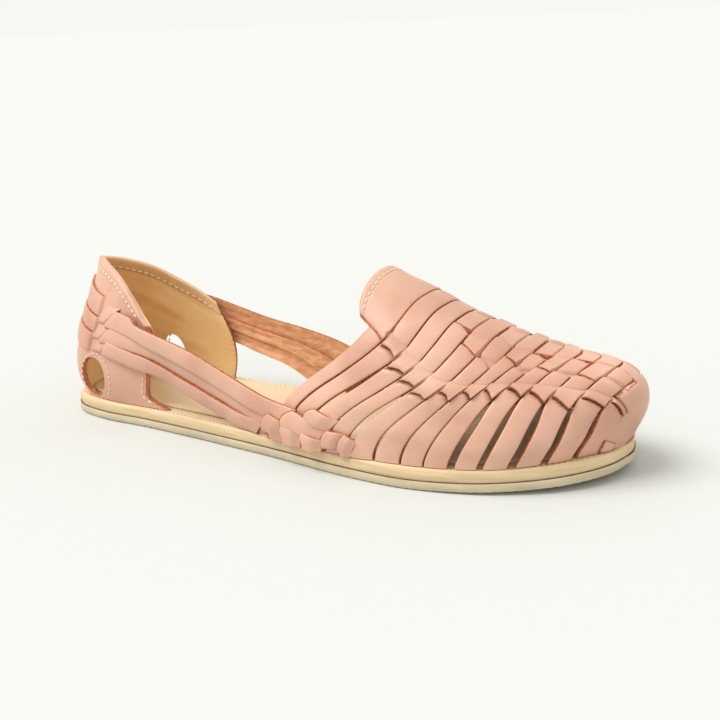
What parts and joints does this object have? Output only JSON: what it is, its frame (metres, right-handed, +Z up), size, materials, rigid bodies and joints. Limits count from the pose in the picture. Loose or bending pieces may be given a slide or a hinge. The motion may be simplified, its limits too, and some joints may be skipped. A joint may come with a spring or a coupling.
{
  "type": "huarache sandal",
  "caption": "Right woven leather huarache: closed woven toe, instep tab, side straps, open sides, heel counter and flat sole.",
  "frame": {"origin": "centre of the box's underside, on the floor under the sole", "axes": "+X heel to toe, +Y to the inner (medial) side, +Z up"},
  "size_m": [0.261, 0.0872, 0.0729],
  "materials": {
    "outsole": "matte crepe",
    "midsole": "satin edge",
    "footbed": "satin",
    "upper_leather": "satin",
    "suede": "matte",
    "lining": "satin",
    "thread": "waxed"
  },
  "bodies": {
    "root": {"outsole": "outsole", "midsole": "midsole", "insole": "footbed", "upper": "upper_leather", "tongue": "upper_leather", "heel_counter": "upper_leather"}
  },
  "joints": []
}
